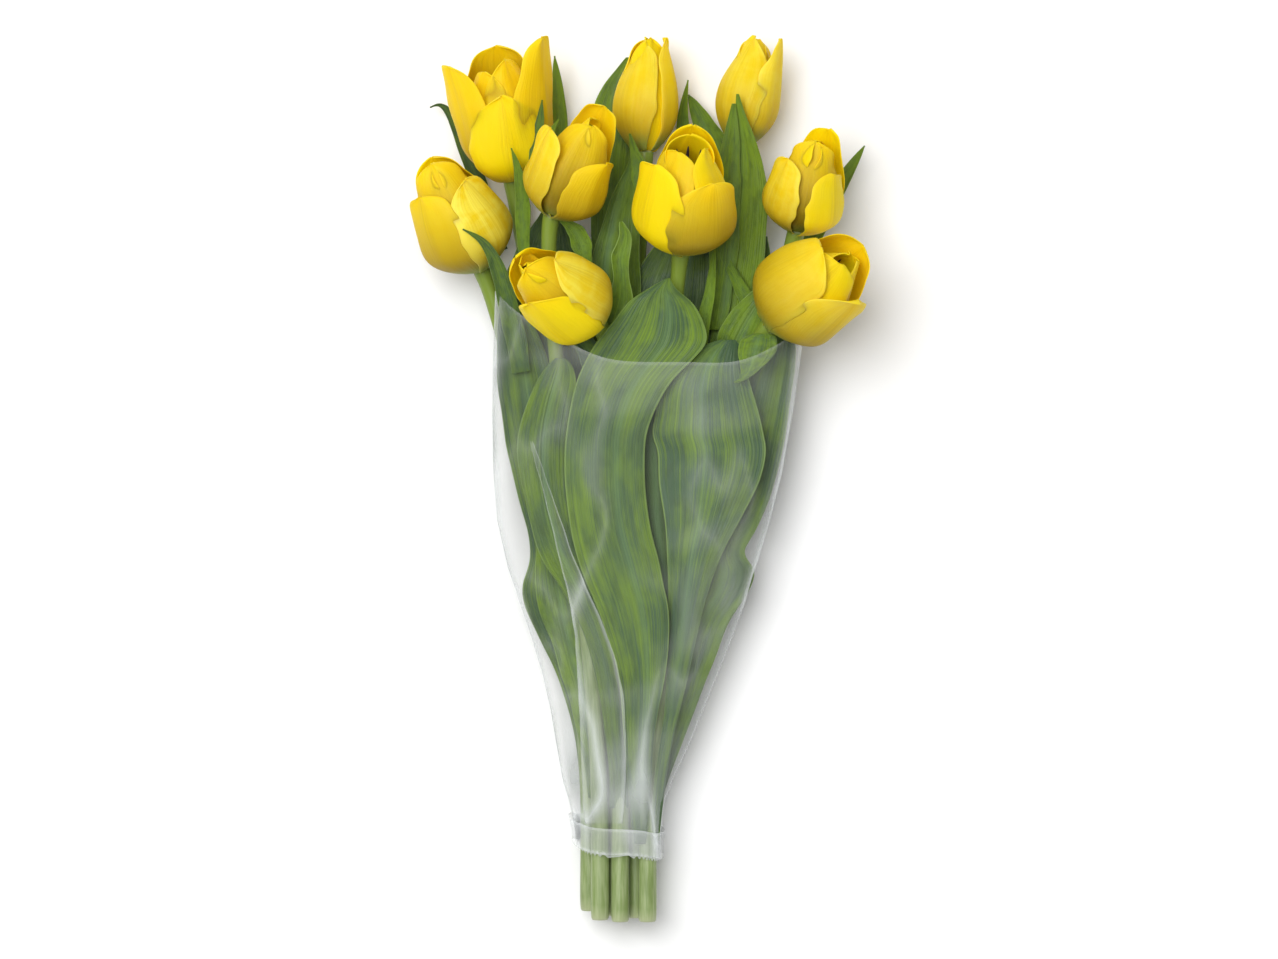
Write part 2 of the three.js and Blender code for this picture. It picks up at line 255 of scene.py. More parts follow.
def makePetalMaterial(look):
    material, tree, shader = newMaterial("petal", 0.52, 0.16)
    shader.inputs["Subsurface Weight"].default_value = look["glow"]
    shader.inputs["Subsurface Radius"].default_value = look["glowReach"]
    shader.inputs["Subsurface Scale"].default_value = look["glowDepth"]
    growth = addAttribute(tree, "growth")
    lines = addGroup(growthLines, growth, Lines=look["lines"], Margin_Start=look["margin"])
    inner, paleness, shade = addSplit(addAttribute(tree, "tone"))
    outer = addMath("SUBTRACT", 1.0, inner)
    skin = addMix(inner, look["outside"], look["inside"])
    veil = plus(times(lines["Broad"], look["streaks"]), times(lines["Margin"], look["rim"]))
    veil = plus(veil, times(lines["Patch"], look["patches"]))
    veil = times(veil, times(paleness, paleness), True)
    veil = times(veil, plus(times(outer, 0.8), 0.2))
    skin = addMix(veil, skin, look["pale"])
    dark = times(lines["Fine"], addRange(lines["Across"], 0.35, 0.0))
    skin = addMix(times(dark, look["spine"]), skin, look["deep"])
    # Painted shade: the outer faces darken to the olive low colour towards the base, and more by each
    # tepal's shade value.
    low = times(addRange(lines["Along"], 0.65, 0.05), look["lowShadeShare"])
    shade = times(shade, addRange(lines["Along"], 1.0, 0.4))
    low = plus(low, times(shade, look["shadeShare"]), True)
    skin = addMix(times(low, outer), skin, look["low"])
    foot = addRange(lines["Along"], 0.2, 0.0)
    skin = addMix(times(foot, plus(outer, 0.25)), skin, look["base"])
    tree.links.new(skin, shader.inputs["Base Color"])
    height = plus(lines["Fine"], times(lines["Broad"], 1.5))
    addBump(shader, height, look["bump"], 0.2 * mm)
    return material


leafLook = {
    "blue": (0.052, 0.104, 0.048), "fresh": (0.162, 0.266, 0.014), "dark": (0.026, 0.055, 0.008),
    "edge": (0.24, 0.36, 0.09), "rib": (0.14, 0.25, 0.10), "lines": 96.0, "margin": 0.94, "patches": 0.6,
    "streaks": 0.7, "shadow": 0.16, "mottle": 0.36, "ribHighlightShare": 0.4, "edgeShare": 0.7, "bump": 0.5,
}


def makeLeafMaterial(look):
    material, tree, shader = newMaterial("leaf", 0.42, 0.3)
    growth = addAttribute(tree, "growth")
    lines = addGroup(growthLines, growth, Lines=look["lines"], Margin_Start=look["margin"])
    freshness, paintedShade, spine = addSplit(addAttribute(tree, "tone"))
    fresh = plus(freshness, times(lines["Patch"], look["patches"]))
    fresh = plus(fresh, times(lines["Fine"], look["streaks"]))
    fresh = addMath("SUBTRACT", fresh, 0.5, True)
    skin = addMix(fresh, look["blue"], look["fresh"])
    skin = addMix(times(lines["Broad"], look["shadow"]), skin, look["dark"])
    mottle = addRange(addNoise(growth, 5.0, 4.0, 0.6, (1.0, 3.4, 9.0)), 0.46, 0.7)
    skin = addMix(times(mottle, look["mottle"]), skin, look["dark"])
    # Painted shade: a leaf's dark value darkens it where it lies under or between others.
    skin = addMix(paintedShade, skin, look["dark"])
    # The rib colour is partly the midrib's own paler tone and partly a painted highlight along it.
    skin = addMix(times(spine, look["ribHighlightShare"]), skin, look["rib"])
    skin = addMix(times(lines["Margin"], look["edgeShare"]), skin, look["edge"])
    tree.links.new(skin, shader.inputs["Base Color"])
    tree.links.new(addRange(lines["Patch"], 0.0, 1.0, 0.36, 0.5), shader.inputs["Roughness"])
    height = plus(lines["Fine"], times(lines["Broad"], 2.0))
    addBump(shader, height, look["bump"], 0.25 * mm)
    return material


stemLook = {"skin": (0.20, 0.275, 0.088), "pale": (0.30, 0.37, 0.17), "dark": (0.13, 0.19, 0.045),
            "top": (0.17, 0.25, 0.015), "cut": (0.50, 0.53, 0.33), "lines": 9.0, "blotches": 2.2}


def makeStemMaterial(look):
    material, tree, shader = newMaterial("stem", 0.4, 0.4)
    growth = addAttribute(tree, "growth")
    lines = addNoise(growth, look["lines"], 3.0, 0.6, (1.0, 0.35, 1.0))
    blotch = addRange(addNoise(growth, look["blotches"], 2.0, 0.5), 0.4, 0.7)
    skin = addMix(addRange(lines, 0.35, 0.65), look["skin"], look["pale"])
    skin = addMix(times(blotch, 0.5), skin, look["dark"])
    cut, upward = addSplit(addAttribute(tree, "tone"))[:2]
    skin = addMix(times(upward, 0.85), skin, look["top"])
    skin = addMix(cut, skin, look["cut"])
    tree.links.new(skin, shader.inputs["Base Color"])
    addBump(shader, lines, 0.3, 0.3 * mm)
    return material


heartLook = {"style": (0.42, 0.48, 0.12), "anther": (0.014, 0.008, 0.012), "grain": 900.0, "lighter": 1.7}


def makeHeartMaterial(name, look, rough):
    material, tree, shader = newMaterial(name, rough, 0.3)
    place = tree.nodes.new("ShaderNodeTexCoord")
    grain = addNoise(place.outputs["Object"], look["grain"], 2.0, 0.6)
    colour = look[name]
    light = tuple(min(1.0, c * look["lighter"] + 0.004) for c in colour)
    tree.links.new(addMix(addRange(grain, 0.35, 0.65), colour, light), shader.inputs["Base Color"])
    addBump(shader, grain, 0.5, 0.2 * mm)
    return material


# Clear is the film's least cover; painted highlights along creases, borders, patches of painted reflection
# and haze each add to it.
filmLook = {"base": (0.88, 0.92, 0.92), "clear": 0.008, "creaseGlint": 0.26, "edge": 0.30, "paintedReflection": 0.035,
            "paintedReflectionSize": 11.0, "haze": 0.028, "rough": 0.34}
tapeLook = {**filmLook, "clear": 0.06, "edge": 0.25, "rough": 0.3}


def makeFilmMaterial(name, look):
    material, tree, shader = newMaterial(name, look["rough"], 0.6)
    shader.inputs["Base Color"].default_value = (*look["base"], 1.0)
    place = tree.nodes.new("ShaderNodeTexCoord").outputs["Object"]
    crinkle = addGroup(filmCrinkle, place)
    haze, border = addSplit(addAttribute(tree, "tone"))[:2]
    # Painted highlight: the film is made whiter along its creases.
    hazeAndGlare = times(times(crinkle["Crease"], plus(haze, 0.06)), look["creaseGlint"])
    hazeAndGlare = plus(hazeAndGlare, times(haze, look["haze"]))
    # Painted reflection: soft patches of noise whiten the film as reflections of the lamps would.
    paintedReflection = addRange(addNoise(place, look["paintedReflectionSize"], 2.0, 0.45, (1.0, 2.4, 1.0)), 0.5, 0.68)
    hazeAndGlare = plus(hazeAndGlare, times(paintedReflection, look["paintedReflection"]))
    hazeAndGlare = plus(hazeAndGlare, times(border, look["edge"]))
    tree.links.new(plus(hazeAndGlare, look["clear"], True), shader.inputs["Alpha"])
    addBump(shader, crinkle["Height"], 0.5, 1.2 * mm)
    return material


petalMaterial = makePetalMaterial(petalLook)
leafMaterial = makeLeafMaterial(leafLook)
stemMaterial = makeStemMaterial(stemLook)
styleMaterial = makeHeartMaterial("style", heartLook, 0.55)
antherMaterial = makeHeartMaterial("anther", heartLook, 0.8)
filmMaterial = makeFilmMaterial("clearFilm", filmLook)
tapeMaterial = makeFilmMaterial("clearTape", tapeLook)
print("materials ready")


# A grid laid out by shape(side, rise) with both from 0 to 1; it returns the place, growth and tone.
def addGrid(bm, acrossSteps, alongSteps, shape):
    layers = bm.verts.layers.float_vector
    growth = layers.get("growth") or layers.new("growth")
    tone = layers.get("tone") or layers.new("tone")
    made = bmesh.ops.create_grid(bm, x_segments=acrossSteps, y_segments=alongSteps, size=0.5)
    for vert in made["verts"]:
        place, vert[growth], vert[tone] = shape(vert.co.x + 0.5, vert.co.y + 0.5)
        vert.co = place
    return made["verts"]


def finishPiece(name, bm, materials, nodes, smoothness=1):
    mesh = bpy.data.meshes.new(name)
    bm.to_mesh(mesh)
    bm.free()
    mesh.shade_smooth()
    piece = bpy.data.objects.new(name, mesh)
    bpy.context.scene.collection.objects.link(piece)
    for material in materials:
        mesh.materials.append(material)
    if smoothness:
        subdivide = piece.modifiers.new("smooth", "SUBSURF")
        subdivide.levels = subdivide.render_levels = smoothness
    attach(piece, "root")
    if nodes:
        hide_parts(*nodes)
    return piece


# Gives an open surface its wall; the inner skin is marked in tone.x where the material wants it.
def giveWall(bm, thickness, markInner=False):
    mesh = bpy.data.meshes.new("wall")
    bm.to_mesh(mesh)
    bm.free()
    before = len(mesh.vertices)
    holder = bpy.data.objects.new("wall", mesh)
    bpy.context.scene.collection.objects.link(holder)
    wall = holder.modifiers.new("wall", "SOLIDIFY")
    wall.thickness = thickness * mm
    wall.offset = -1.0
    seen = holder.evaluated_get(bpy.context.evaluated_depsgraph_get())
    solid = bmesh.new()
    solid.from_mesh(seen.to_mesh())
    bpy.data.objects.remove(holder)
    bpy.data.meshes.remove(mesh)
    if markInner:
        tone = solid.verts.layers.float_vector["tone"]
        solid.verts.ensure_lookup_table()
        for vert in solid.verts[before:]:
            vert[tone] = (1.0, vert[tone][1], 0.0)
    return solid


# Belly is the share of the height where a bloom is widest; rows of points crowd towards the base. Shade is
# how much painted shade each whorl's tepals get, unless a tepal gives its own.
bloomShape = {"belly": 0.42, "baseRadius": 4.4, "roundness": 0.85, "wall": 0.55, "innerGap": 2.2,
              "step": {"outer": 0.65, "inner": 1.1}, "shade": {"outer": 0.2, "inner": 0.9},
              "crowding": 1.35, "halfWidth": 0.95, "foot": 0.3, "shoulder": 2.3, "closing": 0.13,
              "wander": 1.7, "pleat": 0.3, "grooveWidth": 0.13, "across": 13, "along": 20}
tepalShape = {"belly": 1.0, "sway": 0.0, "groove": 0.0, "ripple": 1.2, "edge": 0.0, "pale": 0.5,
              "hook": 0.0, "jag": 0.05}

tepalNames = ("at", "reach", "lean", "wide", "tip")  # then a dictionary of what differs from tepalShape
tulips = {
    "top_left": {
        "slot": (-1, 0), "cut": 1, "base": (-54.5, 315, 20.5), "turn": -7, "tilt": 25, "height": 58,
        "radius": 22,
        "outer": [
            (2, 0.76, 0.72, 0.9, 0.8, {"pale": 0.9, "jag": 0.09, "belly": 0.92, "shade": 0.5}),
            (52, 1.1, 0.95, 0.72, 0.34, {"belly": 0.94, "sway": 0.3}),
            (-46, 0.96, 0.9, 0.64, 0.22, {"pale": 0.4, "belly": 0.94, "sway": -0.42})],
        "inner": [
            (178, 1.0, 0.42, 1.1, 0.46, {"groove": 1.8}),
            (-44, 0.9, 0.42, 0.8, 0.5, {"groove": 1.2, "shade": 0.5}),
            (40, 0.97, 0.34, 0.9, 0.6, {"groove": 1.4, "shade": 0.5})]},
    "top_middle": {
        "slot": (-0.36, 1), "cut": 2, "base": (2, 326, 20), "turn": 2, "tilt": 3, "height": 50,
        "radius": 14.5,
        "outer": [
            (-50, 0.97, 0.22, 1.25, 0.8, {"pale": 0.9, "ripple": 1.3, "shade": 0.05}),
            (84, 0.99, 0.5, 1.0, 0.85, {"pale": 0.8, "shade": 0.05}),
            (205, 0.97, 0.3, 1.15, 0.62, {})],
        "inner": [
            (22, 1.0, 0.2, 1.1, 0.8, {"groove": 0.8}),
            (145, 0.98, 0.25, 1.0, 0.62, {}),
            (-95, 1.0, 0.25, 1.0, 0.62, {})]},
    "top_right": {
        "slot": (0.1, 0), "cut": 0, "base": (43, 329, 20), "turn": 9, "tilt": 2, "height": 48, "radius": 14,
        "outer": [
            (-42, 1.0, 0.2, 1.3, 0.95, {"pale": 1.0, "shade": 0.0}),
            (74, 0.99, 0.74, 1.05, 0.85, {"pale": 1.0, "shade": 0.0}),
            (205, 0.97, 0.3, 1.15, 0.62, {"pale": 1.0})],
        "inner": [
            (22, 0.98, 0.2, 1.15, 0.9, {"groove": 0.9, "pale": 0.8}),
            (145, 0.96, 0.25, 1.0, 0.62, {}),
            (-95, 0.96, 0.25, 1.0, 0.62, {})]},
    "middle_left": {
        "slot": (-1, 2), "cut": 0.8, "base": (-37, 298, 45), "turn": 25, "tilt": 25, "height": 50,
        "radius": 18.5,
        "outer": [
            (-52, 0.8, 1.0, 0.66, 0.36, {"pale": 0.9}),
            (56, 0.7, 0.82, 0.95, 0.5, {"pale": 0.4, "shade": 0.5}),
            (172, 1.04, 0.5, 0.68, 0.3, {})],
        "inner": [
            (6, 0.95, 0.3, 1.1, 0.62, {"groove": 0.9}),
            (118, 0.92, 0.16, 1.1, 0.62, {"groove": 0.9}),
            (-96, 0.98, 0.2, 1.15, 0.62, {"groove": 0.9})]},
    "far_left": {
        "slot": (-1.52, 1), "cut": 4, "base": (-67, 276, 26), "turn": -25, "tilt": 20, "height": 54,
        "radius": 20.5,
        "outer": [
            (46, 0.78, 0.62, 1.0, 0.5, {"pale": 1.6, "edge": 1.2, "shade": 0.0}),
            (-50, 0.8, 0.7, 0.95, 0.45, {"shade": 0.55}),
            (168, 1.0, 0.3, 1.0, 0.5, {})],
        "inner": [
            (-8, 1.0, 0.24, 1.1, 0.62, {"groove": 0.9}),
            (112, 0.98, 0.12, 1.1, 0.62, {"groove": 0.8}),
            (-112, 0.98, 0.12, 1.15, 0.62, {"groove": 0.8})]},
    "lower_left": {
        "slot": (0, 2), "cut": 0, "base": (-18, 253, 52), "turn": -53, "tilt": 38, "height": 51,
        "radius": 18.5,
        "outer": [
            (50, 0.84, 0.62, 1.0, 0.6, {"pale": 1.3, "edge": 1.4, "jag": 0.1}),
            (-52, 0.8, 0.8, 1.0, 0.5, {"shade": 0.6}),
            (180, 1.02, 0.5, 1.0, 0.5, {"pale": 0.4, "hook": -5})],
        "inner": [
            (-8, 1.0, 0.34, 1.15, 0.62, {"groove": 0.9}),
            (108, 0.95, 0.15, 1.15, 0.62, {"groove": 1.2}),
            (-112, 1.0, 0.15, 1.2, 0.62, {"groove": 1.2})]},
    "centre": {
        "slot": (0.74, 1), "cut": 1, "base": (17, 283, 50), "turn": 5, "tilt": 30, "height": 56,
        "radius": 22, "heart": 1.5, "tall": 1.65, "upright": 20,
        "outer": [
            (36, 0.72, 0.86, 1.0, 0.5, {"pale": 0.6, "shade": 0.75}),
            (-50, 0.8, 0.82, 0.9, 0.44, {"pale": 0.6, "shade": 0.35}),
            (174, 1.02, 0.34, 0.8, 0.5, {})],
        "inner": [
            (-46, 0.88, 0.36, 0.86, 0.5, {"groove": 1.2, "shade": 0.4}),
            (72, 0.9, 0.36, 0.86, 0.62, {"groove": 1.0, "shade": 0.4}),
            (-170, 0.97, 0.24, 1.2, 0.62, {"groove": 1.0})]},
    "right": {
        "slot": (1.15, 0), "cut": 2, "base": (66, 292, 32), "turn": 12, "tilt": 25, "height": 45,
        "radius": 17.5,
        "outer": [
            (-54, 0.76, 0.74, 0.86, 0.5, {"pale": 1.1}),
            (54, 0.7, 0.72, 0.86, 0.5, {"pale": 1.1}),
            (152, 1.02, 0.55, 0.85, 0.4, {})],
        "inner": [
            (0, 0.96, 0.2, 1.2, 0.6, {"groove": 0.9}),
            (118, 0.95, 0.12, 1.1, 0.62, {"groove": 0.6}),
            (-118, 0.95, 0.12, 1.1, 0.62, {"groove": 0.6})]},
    "lower_right": {
        "slot": (1.33, 2), "cut": 0, "base": (54, 252, 45), "turn": 49, "tilt": 25, "height": 52,
        "radius": 22, "heart": 1.4, "tall": 1.6, "upright": 16,
        "outer": [
            (-44, 0.88, 0.64, 1.1, 0.5, {"pale": 0.8, "shade": 0.45}),
            (62, 0.8, 0.9, 1.0, 0.46, {"pale": 0.9, "edge": 1.6, "shade": 0.5}),
            (170, 1.02, 0.44, 1.05, 0.46, {"jag": 0.1})],
        "inner": [
            (6, 0.9, 0.4, 1.0, 0.5, {"groove": 0.9, "shade": 0.7}),
            (116, 0.96, 0.34, 0.9, 0.62, {"groove": 1.0}),
            (-116, 0.96, 0.14, 1.15, 0.62, {"groove": 0.9})]},
}


# The bloom's own directions: along its axis, to its right as seen from above, and towards the viewer.
def bloomAxes(tulip):
    turn, tilt = math.radians(tulip["turn"]), math.radians(tulip["tilt"])
    along = Vector((math.sin(turn) * math.cos(tilt), math.cos(turn) * math.cos(tilt), math.sin(tilt)))
    right = Vector((math.cos(turn), -math.sin(turn), 0.0))
    return along, right, right.cross(along)


# Half the width of a tepal at a share of its length: a sine from its foot, then round to its tip.
def tepalOutline(tepal, v):
    if v < 0.5:
        foot = bloomShape["foot"]
        return foot + (1 - foot) * math.sin(math.pi * v)
    t = 2 * v - 1
    return max((1 - t ** bloomShape["shoulder"]) ** tepal["tip"], 0.02)


def tepalPoint(tulip, tepal, gap, seed, side, rise):
    v = 1 - (1 - rise) ** bloomShape["crowding"]
    peak, radius = bloomShape["belly"], tulip["radius"]
    base = bloomShape["baseRadius"] - gap
    widest = radius * tepal["belly"] - gap
    mouth = radius * tepal["lean"] - gap * 0.5
    if v < peak:
        out = base + (widest - base) * math.sin(math.pi / 2 * v / peak) ** bloomShape["roundness"]
    else:
        t = (v - peak) / (1 - peak)
        out = widest + (mouth - widest) * (1 - math.cos(math.pi / 2 * t)) + tepal["hook"] * t ** 4
    closing = bloomShape["closing"] * max(0.0, 1 - tepal["lean"] / tepal["belly"])
    high = tulip["height"] * tepal["reach"] * (0.8 * v + 0.2 * v * v - closing * max(v - peak, 0) ** 2)
    half = bloomShape["halfWidth"] * radius * tepal["wide"] * tepalOutline(tepal, v)
    half *= 1 + tepal["jag"] * (wander(v * 9, side * 2, seed) + 0.5 * math.sin(26 * v + seed))
    bend = max(out, 0.6 * widest)
    angle = side * half / bend
    across = bend * math.sin(angle) + tepal["sway"] * radius * v * v
    depth = out - bend * (1 - math.cos(angle))
    depth += tepal["edge"] * side * side * v
    depth += tepal["ripple"] * abs(side) ** 3 * math.sin(13 * v + seed * 5 + side) * v
    depth += bloomShape["wander"] * wander(side * 1.3, v * 2.2, seed + 9) * v * v
    swell = math.sin(math.pi * v)
    depth += bloomShape["pleat"] * math.sin(8 * side + 3 * seed + 1.5 * v) * swell
    depth -= tepal["groove"] * math.exp(-(side / bloomShape["grooveWidth"]) ** 2) * swell ** 0.5
    return across, high, depth


def addTepal(bm, tulip, tepal, gap, seed):
    along, right, near = bloomAxes(tulip)
    base = Vector(tulip["base"])
    at = math.radians(tepal["at"])
    outward = right * math.sin(at) + near * math.cos(at)
    tangent = right * math.cos(at) - near * math.sin(at)

    def shape(side, rise):
        across, high, depth = tepalPoint(tulip, tepal, gap, seed, side * 2 - 1, rise)
        place = base + along * high + outward * depth + tangent * across
        return spot(place), (side, rise, seed * 0.13), (0.0, tepal["pale"], tepal["shade"])

    addGrid(bm, bloomShape["across"], bloomShape["along"], shape)


# Three tepals with one place on the stem; the outer three sit outside the inner three.
def makeWhorl(name, tulip, which, seed):
    bm = bmesh.new()
    innermost = bloomShape["innerGap"] if which == "inner" else 0.0
    for k, row in enumerate(tulip[which]):
        tepal = {**tepalShape, "shade": bloomShape["shade"][which], **dict(zip(tepalNames, row)), **row[-1]}
        addTepal(bm, tulip, tepal, innermost + bloomShape["step"][which] * k, seed + 1.7 * k)
    bmesh.ops.recalc_face_normals(bm, faces=bm.faces)
    along = bloomAxes(tulip)[0]
    base = spot(tulip["base"])
    inward = 0
    for face in bm.faces:
        middle = face.calc_center_median() - base
        middle -= along * middle.dot(along)
        inward += 1 if face.normal.dot(middle) < 0 else -1
    if inward > 0:
        bmesh.ops.reverse_faces(bm, faces=bm.faces)
    bm = giveWall(bm, bloomShape["wall"], True)
    finishPiece(f"{name}_{which}_tepals", bm, [petalMaterial], [f"{name}_{which}_tepals"])


# Profiles are (radius, height). The pistil's are shares of its own, and an anther's height of its length.
heartShape = {"height": 17, "radius": 2.1, "above": 2.5, "stamens": 6, "around": 0.4, "ring": 2.4,
              "anther": 11, "reach": 6.75, "upright": 3, "fullSize": 18, "smallest": 0.02,
              "pistil": [(1.0, 0.35), (0.8, 0.82), (1.35, 0.9), (1.2, 0.98)],
              "antherTip": [(1.1, 0.3), (1.0, 0.75), (0.5, 0.96)]}


# A surface of revolution about a line, from a profile of (radius, height).
def addTurned(bm, base, along, profile, steps, materialIndex):
    side = along.orthogonal().normalized()
    path = [base + side * r * mm + along * h * mm for r, h in profile]
    verts = [bm.verts.new(p) for p in path]
    edges = [bm.edges.new(pair) for pair in zip(verts, verts[1:])]
    bmesh.ops.spin(bm, geom=verts + edges, cent=base, axis=along, angle=math.tau, steps=steps,
                   use_merge=True, use_normal_flip=False, use_duplicate=False)
    for face in bm.faces:
        if not face.tag:
            face.material_index = materialIndex
            face.tag = True


def makeHeart(name, tulip):
    along, right, near = bloomAxes(tulip)
    base = spot(Vector(tulip["base"]) + along * heartShape["above"])
    share = tulip.get("heart", min(1.0, tulip["radius"] / heartShape["fullSize"]))
    high, wide, thin = heartShape["height"] * share, heartShape["radius"] * share, heartShape["smallest"]
    bm = bmesh.new()
    column = [(r * wide, h * high) for r, h in heartShape["pistil"]]
    addTurned(bm, base, along, [(thin, 0), (0.8 * wide, 0.3), *column, (thin, high)], 12, 0)
    tall = share * tulip.get("tall", 1.0)
    long, rise = heartShape["anther"] * tall, heartShape["reach"] * tall
    anther = [(thin, 0), (0.8, 0.6), *((r, long * h) for r, h in heartShape["antherTip"]), (thin, long)]
    filament = [(thin, 0), (0.55, 0.2), (0.4, rise), (thin, rise + 0.3)]
    for k in range(heartShape["stamens"]):
        angle = math.tau * k / heartShape["stamens"] + heartShape["around"]
        out = right * math.cos(angle) + near * math.sin(angle)
        lean = (along * tulip.get("upright", heartShape["upright"]) + out).normalized()
        foot = base + out * heartShape["ring"] * share * mm
        addTurned(bm, foot, lean, filament, 8, 1)
        addTurned(bm, foot + lean * (rise - 0.5) * mm, lean, anther, 8, 1)
    bmesh.ops.remove_doubles(bm, verts=bm.verts, dist=10 * sameSpot)
    bmesh.ops.recalc_face_normals(bm, faces=bm.faces)
    finishPiece(f"{name}_pistil", bm, [styleMaterial, antherMaterial], [f"{name}_pistil"])


for k, (tulipName, tulip) in enumerate(tulips.items()):
    makeWhorl(tulipName, tulip, "outer", 3.1 * k + 0.4)
    makeWhorl(tulipName, tulip, "inner", 3.1 * k + 2.2)
    makeHeart(tulipName, tulip)
print("blooms ready:", len(tulips))


# A stem's slot is its column and row among the gathered stems, a pitch apart; they part above the neck.
bundle = {"middle": -8.4, "pitch": 8.6, "lowest": 6.7, "neck": 45.0, "lowSteps": 6, "highSteps": 24}
stemShape = {"foot": 4.1, "top": 3.2, "straight": 0.3, "leadIn": 22.0, "intoBloom": 0.6, "uneven": 0.035,
             "ridged": 0.012, "flare": 0.9, "rim": 0.9, "hollow": 0.15, "around": 16, "along": 46}


def stemLine(tulip):
    along = bloomAxes(tulip)[0]
    x = bundle["middle"] + tulip["slot"][0] * bundle["pitch"]
    z = bundle["lowest"] + tulip["slot"][1] * bundle["pitch"]
    base = Vector(tulip["base"])
    neck = Vector((x, bundle["neck"], z))
    handles = (neck, Vector((x, bundle["neck"] + stemShape["straight"] * (base.y - neck.y), z)),
               base - along * stemShape["leadIn"], base + along * stemShape["intoBloom"])
    steps = bundle["lowSteps"]
    line = [Vector((x, mixed(tulip["cut"], bundle["neck"], k / steps), z)) for k in range(steps)]
    for k in range(bundle["highSteps"] + 1):
        t = k / bundle["highSteps"]
        weights = ((1 - t) ** 3, 3 * t * (1 - t) ** 2, 3 * t * t * (1 - t), t ** 3)
        line.append(sum((w * h for w, h in zip(weights, handles)), Vector()))
    return [tuple(p) for p in line]


# A line's direction at a share of its length, and the directions across it and up from it.
def lineAxes(line, t):
    ahead = Vector(alongRows(line, min(t + 0.01, 1.0))) - Vector(alongRows(line, max(t - 0.01, 0.0)))
    ahead.normalize()
    across = ahead.cross(Vector((0, 0, 1))).normalized()
    return across, across.cross(ahead)


# A round rod along a stem's line: a grid rolled up, its seam merged and its ends filled.
def makeStem(name, tulip, seed):
    line = stemLine(tulip)

    def radiusAt(rise, angle):
        radius = mixed(stemShape["foot"], stemShape["top"], rise ** 0.8)
        radius *= 1 + (stemShape["uneven"] * wander(rise * 9, seed, math.cos(angle))
                       + stemShape["ridged"] * math.cos(5 * angle + seed))
        radius += stemShape["flare"] * smooth(0.965, 1.0, rise)
        return radius * (1 - 0.05 * smooth(0.01, 0.0, rise))

    def shape(side, rise):
        across, up = lineAxes(line, rise)
        angle = side * math.tau
        around = across * math.cos(angle) + up * math.sin(angle)
        place = Vector(alongRows(line, rise)) + around * radiusAt(rise, angle)
        growth = (math.cos(angle) * 0.4, rise * 6 + seed, math.sin(angle) * 0.4)
        return spot(place), growth, (smooth(0.012, 0.0, rise) * 0.5, smooth(0.3, 0.9, rise), 0.0)

    bm = bmesh.new()
    verts = addGrid(bm, stemShape["around"] + 1, stemShape["along"], shape)
    bmesh.ops.remove_doubles(bm, verts=verts, dist=sameSpot)
    ends = bmesh.ops.holes_fill(bm, edges=[e for e in bm.edges if e.is_boundary], sides=0)["faces"]
    bmesh.ops.inset_individual(bm, faces=ends, thickness=stemShape["rim"] * mm,
                               depth=-stemShape["hollow"] * mm)
    bmesh.ops.recalc_face_normals(bm, faces=bm.faces)
    tone = bm.verts.layers.float_vector["tone"]
    for vert in {vert for face in ends for vert in face.verts}:
        vert[tone] = (1.0, 0.0, 0.0)
    finishPiece(f"{name}_stem", bm, [stemMaterial], [f"{name}_stem"])


for k, (tulipName, tulip) in enumerate(tulips.items()):
    makeStem(tulipName, tulip, 2.3 * k)
print("stems ready")
